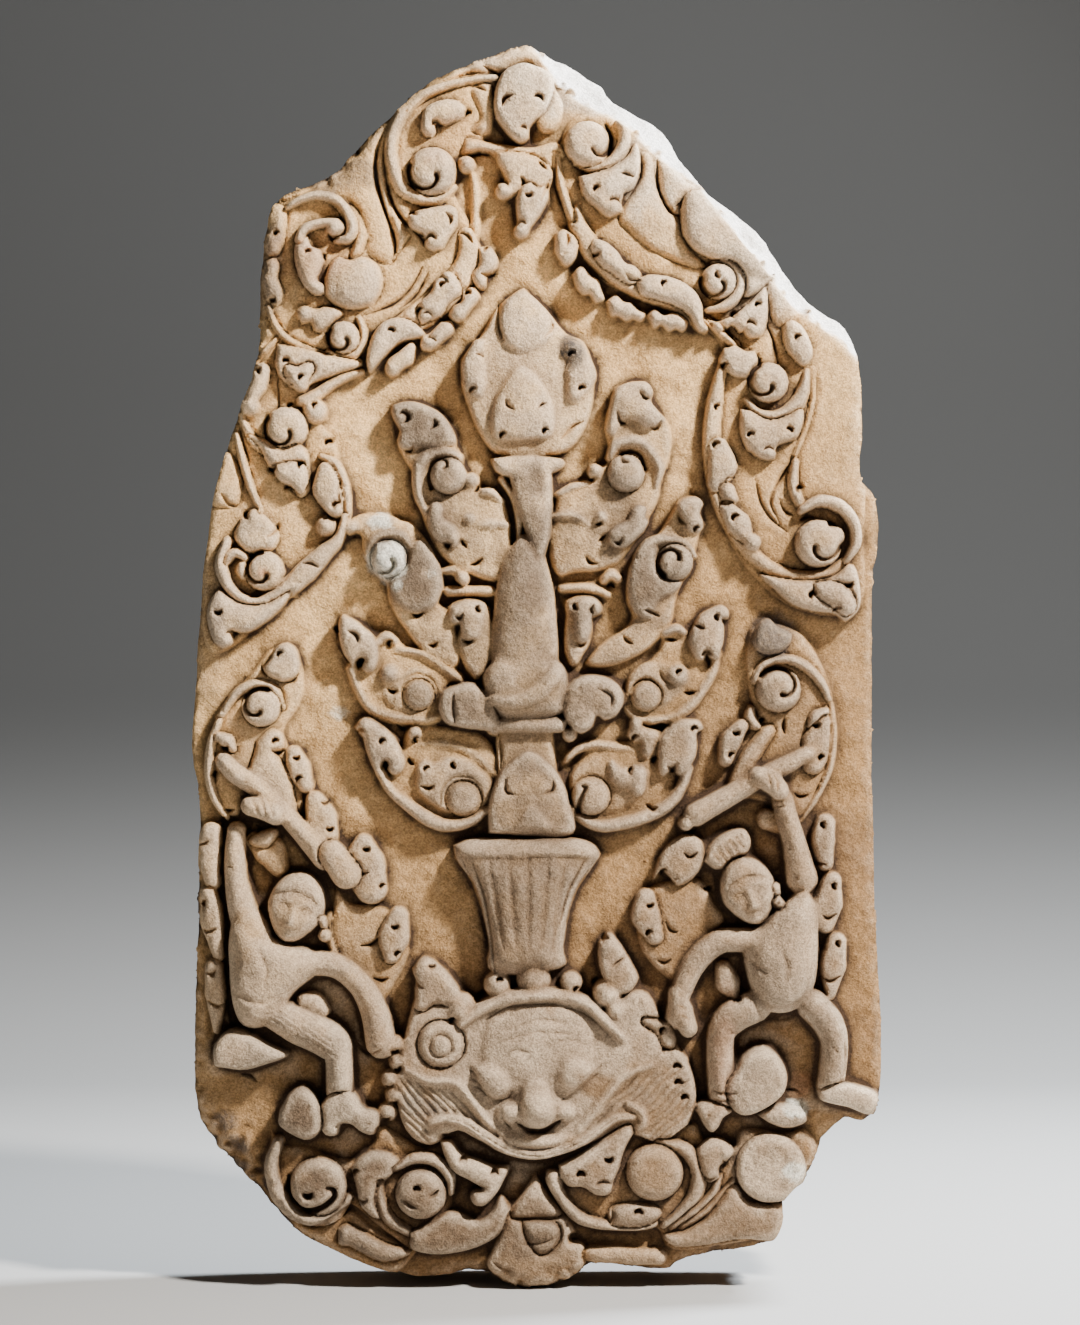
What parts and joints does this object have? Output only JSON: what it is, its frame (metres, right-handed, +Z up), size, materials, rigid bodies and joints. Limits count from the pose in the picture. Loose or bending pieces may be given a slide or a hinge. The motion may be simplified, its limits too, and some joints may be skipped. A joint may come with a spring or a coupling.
{
  "type": "stone relief panel",
  "caption": "Upright sandstone panel with a broken rim, carved in low relief with a monster mask, a flared vase, a flaming column, leaf scrolls and small club bearers.",
  "frame": {"origin": "on the flat back face, at the panel's centre line and half its height", "axes": "+Z up the panel, +Y out of its back into the wall, -Y out of the carved face, +X to the viewer's right"},
  "size_m": [0.553, 0.1386, 0.998],
  "materials": {
    "sandstone": "weathered fine-grained sandstone, dry and matt"
  },
  "bodies": {
    "root": {"relief_panel": "sandstone"}
  },
  "joints": []
}
